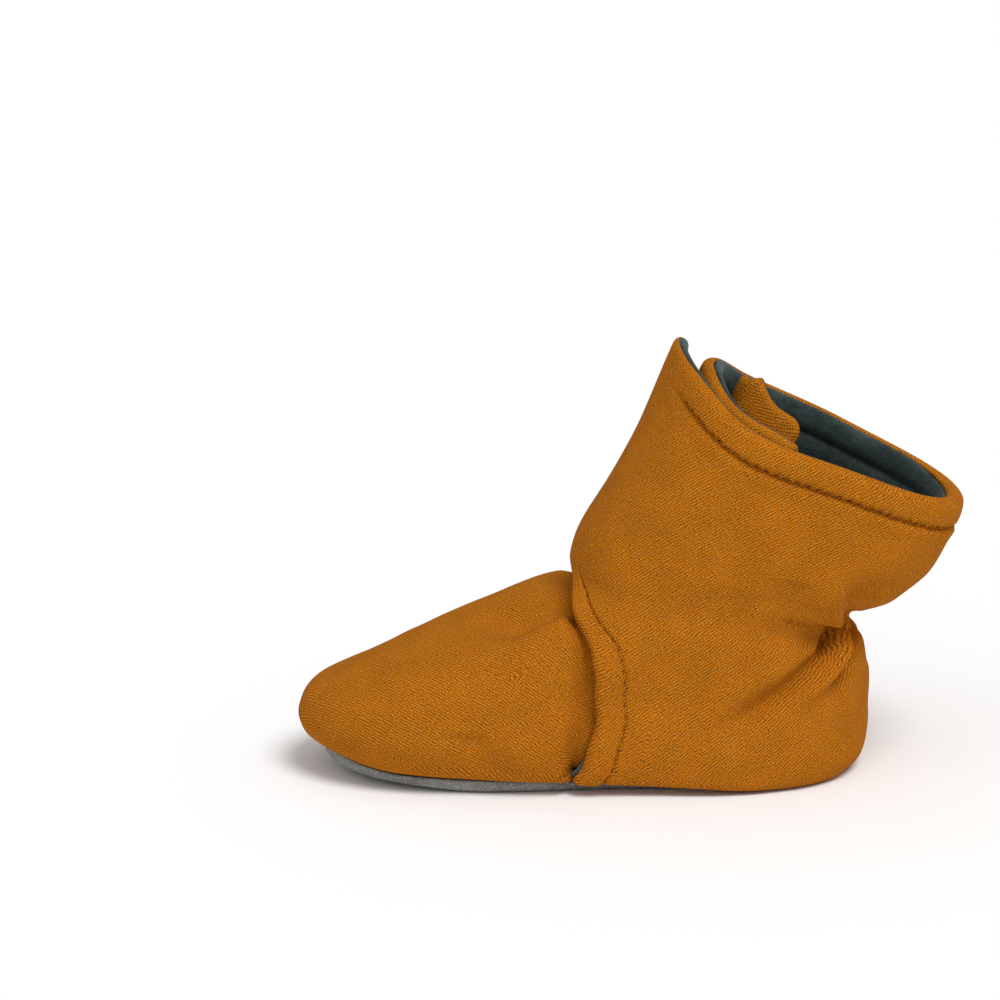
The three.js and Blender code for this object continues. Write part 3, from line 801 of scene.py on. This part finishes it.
KNIT_TONE = (182, 104, 12)
WRAP_KNIT = knit("wrap_knit", 35, KNIT_TONE)
TOE_KNIT = knit("toe_knit", 62, KNIT_TONE)
THREAD = plain("sewing_thread", (88, 46, 8), 1.0, 0.3, 2500.0)
LINING = fleece("fleece_lining", (66, 80, 79), (33, 42, 42))
GRIP = grip_cloth("grip_cloth", (136, 136, 132), (92, 96, 94))
DOTS = plain("grip_dots", (104, 92, 72), 0.38, 0.1, 300.0)
TAPE = plain("tape_cloth", (30, 34, 37), 0.8, 0.5, 1200.0)
BRISTLE = plain("tape_bristles", (186, 184, 176), 0.45, 0.0)


# The two cloths of the upper

LIP = 1.9                            # the knit wraps this far round an edge
BARE = -0.75                         # there the lining shows round the edge


def wrap_side_lip(row):
    return np.full_like(row, LIP)


def wrap_front_lip(row):
    """The lining shows round the foot of the outer flap's front edge"""
    return lerp(-0.4, LIP, smooth(1.5, 5, row))


def wrap_rim_lip(share):
    turned = lerp(BARE, 0.1, smooth(0.03, 0.08, share))
    lip = lerp(turned, LIP, smooth(0.19, 0.26, share)) - 1.2 * smooth(0.45, 0.6, share)
    return lip - 1.15 * smooth(0.86, 0.93, share)


def wrap_top(share):
    return rim_row(WRAP.field_angle(share, np.full_like(share, TOP_ROW)))


TONGUE_CUT = {"inner": 0.33, "outer": 0.1}


def tongue_top(share):
    """The tongue's end slopes down towards the inner side"""
    angle = TOE.field_angle(share, np.full_like(share, TOP_ROW)) / DEGREE
    inner = 0.23 * smooth(45, 74, angle) + TONGUE_CUT["inner"] * np.clip((angle - 70) / 18, 0, 1) ** 2
    return TOP_ROW - inner - TONGUE_CUT["outer"] * smooth(-20, -45, angle)


def flat_lip(value):
    return lambda place: np.full_like(place, value)


WRAP = Cloth(
    wrap_point, lambda row: edge("inner", row), lambda row: edge("outer", row),
    wrap_top, (wrap_front_lip, wrap_side_lip, wrap_rim_lip), 1.9, crowd=1.0)
TOE = Cloth(
    toe_point, lambda row: edge("toeOuter", row), lambda row: edge("toeInner", row),
    tongue_top, (flat_lip(LIP), flat_lip(LIP), flat_lip(-0.3)), 3.0)

FOOT_LINES = np.concatenate([
    [0, 0.03, 0.07, 0.13, 0.2], np.linspace(0.3, 6.8, 62), np.linspace(6.9, BODY_TURN, 24)])
SHAFT_SHARES = np.linspace(0, 1, 50)[1:]
LINING_FOOT = np.linspace(0.25, BODY_TURN, 46)
LINING_SHAFT = np.linspace(0, 1, 22)[1:]


def edge_lengths(layout, points):
    """Length along the nearest hem, for the pitch of stitches and puckers"""
    up = lengths(points, 0)[:, [layout.band]]
    along = lengths(points, 1)[[layout.body]]
    return np.where(layout.at_side, up, along)


def front_share(angle, row):
    """1 where the outer flap's hem lies flat on the front of the shaft, so that no line shows"""
    return smooth(40 * DEGREE, 14 * DEGREE, angle) * smooth(7.6, 8.8, row)


ELASTIC_LINE = {"start": 113, "end": 157, "high": 8.76, "low": 7.92}


def elastic_relief(angle, row):
    """The groove of the elastic's stitches, and the cloth that hangs over it"""
    turned = 180 - np.abs(angle / DEGREE - 180)
    share = (turned - ELASTIC_LINE["start"]) / (ELASTIC_LINE["end"] - ELASTIC_LINE["start"])
    line = lerp(ELASTIC_LINE["high"], ELASTIC_LINE["low"], np.clip(share, 0, 1))
    above = row - line - (elastic_row(angle) - INSTEP_ROW)
    there = smooth(0, 0.12, share) * (angle < INNER_FLAP_FROM)
    wave = 0.06 * np.cos(2 * math.pi * share * 19)
    return there * (0.4 * bell((above - 0.42) / 0.3) - 0.55 * bell((above + wave) / 0.12))


def wrap_relief(layout, points):
    along = edge_lengths(layout, points)
    fade = 1 - front_share(layout.angle, layout.row)
    foot = smooth(0, 0.6, layout.row)
    relief = fade * foot * hem_relief(layout.nearest, along, np.where(layout.at_side, 0.0, 1.0))
    outside = 1 - np.clip(layout.depth / WALL, 0, 1)
    soft = 0.28 * rough(points, 11, 1) + 0.10 * rough(points, 4.5, 2)
    soft = soft * smooth(0, 1.5, layout.row) * smooth(2, 9, layout.nearest)
    return (relief + soft + elastic_relief(layout.angle, layout.row)) * outside


def toe_relief(layout, points):
    soft = 0.3 * rough(points, 12, 3) + 0.10 * rough(points, 4.5, 4)
    outside = 1 - np.clip(layout.depth / WALL, 0, 1)
    return soft * smooth(0, 1.5, layout.row) * outside


def upper_cloth(name, cloth, columns, relief, material, nodes, lining_name, lining_columns):
    """The knit and the fleece of one cloth, each a closed sheet"""
    outer = cloth.lay_out(columns, FOOT_LINES, SHAFT_SHARES)
    smooth_points = outer.points()
    raised = relief(outer, smooth_points)
    front = outer.points(bottom_turn(outer) - raised)
    under = cloth.lay_out(columns, FOOT_LINES, SHAFT_SHARES, inset=KNIT_THICKNESS)
    uv = flattened(smooth_points)
    declare(sheet(name, front, under.points(), material, uv, step=BACK_STEP), "knit", *nodes)

    inner = cloth.lay_out(lining_columns, LINING_FOOT, LINING_SHAFT, inside=True)
    face = inner.points()
    pile = 0.16 * rough(face, 2.2, 5) + 0.12 * rough(face, 6, 6)
    quilted = 0.3 * bell((inner.nearest - 3) / 1.8) - 0.75 * bell((inner.nearest - HEM_WIDTH) / 0.55)
    behind = cloth.lay_out(lining_columns, LINING_FOOT, LINING_SHAFT, inside=True, inset=FLEECE_THICKNESS)
    face = inner.points(quilted * smooth(0.5, 2, inner.row) - 0.5 * np.abs(pile))
    lining = sheet(lining_name, face, behind.points(), LINING, flip=True)
    declare(lining, "fleece")
    return outer, front


wrap_layout, wrap_front = upper_cloth(
    "wrap_knit_cloth", WRAP, 400, wrap_relief, WRAP_KNIT, ["upper_wrap"], "wrap_lining", 220)
toe_layout, toe_front = upper_cloth(
    "toe_tongue_cloth", TOE, 240, toe_relief, TOE_KNIT, ["upper_toe_tongue"], "toe_tongue_lining", 120)


# Stitches

def grid_normals(points):
    return unit(np.cross(np.gradient(points, axis=1), np.gradient(points, axis=0)))


def resampled(path, normals, step):
    reach = lengths(path, 0)
    count = max(int(reach[-1] / step), 2)
    wanted = (np.arange(count) + 0.5) * reach[-1] / count
    pick = lambda values: np.stack([np.interp(wanted, reach, values[:, k]) for k in range(3)], axis=1)
    return pick(path), unit(pick(normals))


STITCH_SIDES = 6
STITCH_RINGS = 7
THREAD_RADIUS = 0.13


def stitch_row(path, normals, step=STITCH_PITCH, cover=0.8, lift=-0.02):
    """Points and faces of a row of stitches that dive into the cloth at both ends"""
    fine, facing = resampled(path, normals, step / (STITCH_RINGS + 1))
    points, faces = [], []
    rings = STITCH_RINGS
    ring_turn = np.arange(STITCH_SIDES) * 2 * math.pi / STITCH_SIDES
    for start in range(0, len(fine) - rings - 1, rings + 1):
        middle, up = fine[start:start + rings], facing[start:start + rings]
        share = np.linspace(-1, 1, rings)
        ahead = unit(np.gradient(middle, axis=0))
        centre = middle[rings // 2] + (middle - middle[rings // 2]) * cover
        centre = centre + up * (lift - 0.5 * share ** 4)[:, None]
        across = unit(np.cross(up, ahead))
        above = np.cross(ahead, across)
        base = len(points)
        for k in range(rings):
            radius = THREAD_RADIUS * math.sqrt(max(1 - share[k] ** 6 * 0.6, 0.1))
            for turn in ring_turn:
                points.append(centre[k] + radius * (math.cos(turn) * across[k] + math.sin(turn) * above[k]))
        for k in range(rings - 1):
            for n in range(STITCH_SIDES):
                a, b = base + k * STITCH_SIDES + n, base + k * STITCH_SIDES + (n + 1) % STITCH_SIDES
                faces.append((a, b, b + STITCH_SIDES, a + STITCH_SIDES))
        faces.append(tuple(base + n for n in reversed(range(STITCH_SIDES))))
        faces.append(tuple(base + (rings - 1) * STITCH_SIDES + n for n in range(STITCH_SIDES)))
    return points, faces


def joined(parts):
    points, faces = [], []
    for more_points, more_faces in parts:
        start = len(points)
        points.extend(more_points)
        faces.extend(tuple(start + n for n in face) for face in more_faces)
    return points, faces


HEM_INDEX = BAND.index(HEM_WIDTH)    # the stop of the band that lies on the hem's stitches


def hem_stitches():
    normals = grid_normals(wrap_front)
    band, body = wrap_layout.band, wrap_layout.body
    first, last = band - 1 - HEM_INDEX, -band + HEM_INDEX
    rim_line = body - 1 + HEM_INDEX
    shown = front_share(wrap_layout.angle, wrap_layout.row) < 0.5
    lines = (
        (rim_line, np.flatnonzero(shown[rim_line, first:last]) + first),
        (np.flatnonzero(shown[6:rim_line + 1, first]) + 6, first),
        (np.arange(6, rim_line + 1), last),
    )
    rows = [stitch_row(wrap_front[line], normals[line]) for line in lines]
    points, faces = joined(rows)
    declare(mesh_object("hem_stitches", points, faces, THREAD), "knit")


hem_stitches()


# The sole and the footbed

SOLE_SIDES = 240
SPRING_FROM = 0.86
SOLE_TURN = 1.7                      # the sole follows the turned up toe, and grows thicker there
RIM_INSET = LAYER_GAP
DOT_HEIGHT = 0.3
SOLE_ROUND = 1.1                     # the underside turns up to the rim within this
SOLE_STOPS = (0, 0.1, 0.25, 0.45, 0.7, 1.0, 1.4, 2.0, 3.0, 4.5)   # inward from the rim


def toe_lift(points):
    share = (points[..., 0] + HEEL_SEAT) / FOOT_LENGTH
    sprung = TOE_SPRING * np.maximum((share - SPRING_FROM) / (1 - SPRING_FROM), 0) ** 2
    return sprung + SOLE_TURN * turned_up(points[..., 0], 0.66, 0.95)


def sole_ring(inset):
    angle = np.arange(SOLE_SIDES) * 2 * math.pi / SOLE_SIDES
    seam = last_point(angle, 0.0)
    seam[:, 2] += TOE_TURN * turned_up(seam[:, 0]) - heel_sag(seam[:, 0])
    return seam, seam + level_inward(angle, float(WIDEST_ROW)) * inset


def spine_rings(ring, shares):
    """Rings that close a level outline towards its middle line"""
    middle = ring.copy()
    middle[:, 0] = lerp(ring[:, 0].mean(), ring[:, 0], 0.62)
    mirrored = np.roll(ring[::-1], 1, axis=0)
    middle[:, 1] = 0.5 * (ring[:, 1] + mirrored[:, 1])
    return [lerp(ring, middle, share) for share in shares]


def ring_mesh(name, rings, material, slot, *nodes):
    """A closed solid from rings about Z, each with the same count, which ends on two middle lines"""
    count = len(rings[0])
    points = np.concatenate(rings)
    faces = []
    for k in range(len(rings) - 1):
        a = k * count + np.arange(count)
        b = k * count + np.roll(np.arange(count), -1)
        faces.extend(np.stack([a, b, b + count, a + count], axis=1).tolist())
    piece = mesh_object(name, points, faces, material, points[:, :2])
    import bmesh
    made = bmesh.new()
    made.from_mesh(piece.data)
    bmesh.ops.remove_doubles(made, verts=made.verts, dist=1e-6)
    bmesh.ops.recalc_face_normals(made, faces=made.faces)
    made.to_mesh(piece.data)
    made.free()
    return declare(piece, slot, *nodes)


INWARD = (0.12, 0.25, 0.4, 0.55, 0.7, 0.85, 1.0)


def outsole():
    bottom = []
    for stop in SOLE_STOPS:
        seam, ring = sole_ring(RIM_INSET + stop)
        low = DOT_HEIGHT + toe_lift(ring)
        high = seam[:, 2] - LAYER_GAP
        share = 1 - np.clip(stop / SOLE_ROUND, 0, 1)
        ring[:, 2] = lerp(low, np.maximum(high, low), 1 - np.sqrt(1 - share ** 2))
        bottom.append(ring)
    top = []
    for stop in (0.15, 0.6, 1.5, 3.0, 4.5):
        seam, ring = sole_ring(RIM_INSET + stop)
        inner = SOLE_THICKNESS + toe_lift(ring)
        ring[:, 2] = lerp(seam[:, 2] - LAYER_GAP + 0.1, inner, smooth(0, 4.5, np.full(SOLE_SIDES, stop)))
        top.append(ring)
    rings = spine_rings(bottom[-1], INWARD)[::-1] + bottom[::-1] + top + spine_rings(top[-1], INWARD)
    ring_mesh("sole_cloth", rings, GRIP, "grip_sole", "outsole")


def footbed():
    rings = []
    for inset, rise in ((5.3, 0.0), (4.8, 0.5), (4.8, 1.4), (5.0, 1.8), (5.5, 2.0), (7.0, 2.0)):
        seam, ring = sole_ring(inset)
        ring[:, 2] = SOLE_THICKNESS + LAYER_GAP + toe_lift(ring) + rise
        rings.append(ring)
    top = spine_rings(rings[-1], np.linspace(0, 1, 24)[1:])
    for ring in top:
        ring[:, 2] += 0.12 * rough(ring, 3, 7) * smooth(0, 0.2, 1 - 0.0)
    rings = spine_rings(rings[0], (0.5, 1.0))[::-1] + rings + top
    ring_mesh("fleece_footbed", rings, LINING, "fleece", "insole")


outsole()
footbed()

DOT_PITCH = (6.2, 3.1)
DOT_SIZE = (2.4, 1.8)


def dome(centre, size, height, sides=12, levels=3):
    """An oval dot: rings of a flat dome that ends on a flat foot"""
    turn = np.arange(sides) * 2 * math.pi / sides
    points, faces = [], []
    for k in range(levels + 1):
        rise = k / levels
        width = math.sqrt(1 - (0.75 * rise) ** 2)
        for t in turn:
            x = centre[0] + size[0] / 2 * width * math.cos(t)
            y = centre[1] + size[1] / 2 * width * math.sin(t)
            points.append((x, y, centre[2] + 0.15 - (height + 0.15) * math.sin(rise * math.pi / 2)))
    for k in range(levels):
        for n in range(sides):
            a, b = k * sides + n, k * sides + (n + 1) % sides
            faces.append((a, a + sides, b + sides, b))
    faces.append(tuple(range(sides)))
    faces.append(tuple(levels * sides + n for n in reversed(range(sides))))
    return points, faces


def grip_dots():
    seam, outline = sole_ring(RIM_INSET + 3.2)
    parts = []
    half = outline[np.argsort(outline[:, 0])]
    columns = np.arange(outline[:, 0].min() + 2, outline[:, 0].max() - 1, DOT_PITCH[0] / 2)
    for n, x in enumerate(columns):
        near = outline[np.abs(outline[:, 0] - x) < 3]
        low, high = near[:, 1].min(), near[:, 1].max()
        for k in range(-12, 13):
            y = (k + (n % 2) / 2) * DOT_PITCH[1] * 1.35
            if low + 1 < y < high - 1:
                spot = np.array([x, y, 0.0])
                centre = (x, y, DOT_HEIGHT + float(toe_lift(spot)))
                parts.append(dome(centre, DOT_SIZE, DOT_HEIGHT))
    points, faces = joined(parts)
    declare(mesh_object("grip_dots", points, faces, DOTS), "grip_sole")


grip_dots()

# The closing: hook tape inside the outer flap, loop tape on the inner flap

TAPE_PLACE = {"from": 6, "to": 34, "low": 10.8, "high": 12.2}


def tape(name, node, turn, depth):
    angle = (np.linspace(TAPE_PLACE["from"], TAPE_PLACE["to"], 50) * DEGREE + turn)[None, :]
    row = np.linspace(TAPE_PLACE["low"], TAPE_PLACE["high"], 40)[:, None]
    angle, row = np.broadcast_arrays(angle, row)
    front = wrap_point(angle, row, np.full(angle.shape, depth))
    back = wrap_point(angle, row, np.full(angle.shape, depth + TAPE_THICKNESS))
    declare(sheet(name, front, back, TAPE), "tape", node)


tape("hook_tape_cloth", "hook_tape", 0, WALL + TAPE_GAP)
tape("loop_tape_cloth", "loop_tape", 2 * math.pi, -TAPE_GAP - TAPE_THICKNESS)


# Studio

def studio():
    scene = bpy.context.scene
    scene.view_settings.view_transform = "Standard"
    world = bpy.data.worlds.new("studio")
    world.use_nodes = True
    world.node_tree.nodes["Background"].inputs[0].default_value = (1.0, 1.0, 1.0, 1.0)
    world.node_tree.nodes["Background"].inputs[1].default_value = WORLD_LIGHT
    scene.world = world
    floor_mesh = bpy.data.meshes.new("floor")
    corners = [(-FLOOR_SPAN, -FLOOR_SPAN), (FLOOR_SPAN, -FLOOR_SPAN), (FLOOR_SPAN, FLOOR_SPAN),
               (-FLOOR_SPAN, FLOOR_SPAN)]
    floor_mesh.from_pydata([(*corner, 0) for corner in corners], [], [(0, 1, 2, 3)])
    s = Shader("pale_floor")
    floor_mesh.materials.append(s.finish((0.96, 0.96, 0.96, 1), 0.95, Specular_IOR_Level=0.0))
    floor = bpy.data.objects.new("floor", floor_mesh)
    scene.collection.objects.link(floor)
    for name, azimuth, height, strength, spread in SUNS:
        sun(name, azimuth, height, strength, spread)


WORLD_LIGHT = 0.47
FLOOR_SPAN = 6.0
SUNS = (                             # name, direction and height in degrees, strength, spread
    ("key", 125, 58, 1.90, 30),
    ("fill", 60, 40, 0.35, 60),
)


def sun(name, azimuth, height, strength, spread):
    """A soft far light that shines from azimuth, counted from +X towards +Y"""
    light = bpy.data.lights.new(name, "SUN")
    light.energy, light.angle = strength, spread * DEGREE
    lamp = bpy.data.objects.new(name, light)
    level = math.cos(height * DEGREE)
    source = Vector((level * math.cos(azimuth * DEGREE), level * math.sin(azimuth * DEGREE),
                     math.sin(height * DEGREE)))
    lamp.rotation_euler = (-source).to_track_quat("-Z", "Y").to_euler()
    bpy.context.scene.collection.objects.link(lamp)


CAMERA_DISTANCE = 0.9
ELEVATION = 15 * DEGREE
TARGET = (0.031, 0.0, 0.036)
TARGET_PIXEL = (584, 580)            # of 1000, where the photograph has that point
PIXELS_PER_METRE = 5200


def camera():
    data = bpy.data.cameras.new("camera")
    width = 1000 / PIXELS_PER_METRE
    data.sensor_width = 36
    data.lens = data.sensor_width * CAMERA_DISTANCE / width
    data.shift_x = (500 - TARGET_PIXEL[0]) / 1000
    data.shift_y = (TARGET_PIXEL[1] - 500) / 1000
    data.clip_start, data.clip_end = 0.05, 20
    seen = bpy.data.objects.new("camera", data)
    back = Vector((0, math.cos(ELEVATION), math.sin(ELEVATION)))
    seen.location = Vector(TARGET) + back * CAMERA_DISTANCE
    seen.rotation_euler = (-back).to_track_quat("-Z", "Y").to_euler()
    bpy.context.scene.collection.objects.link(seen)
    bpy.context.scene.camera = seen


camera()
studio()
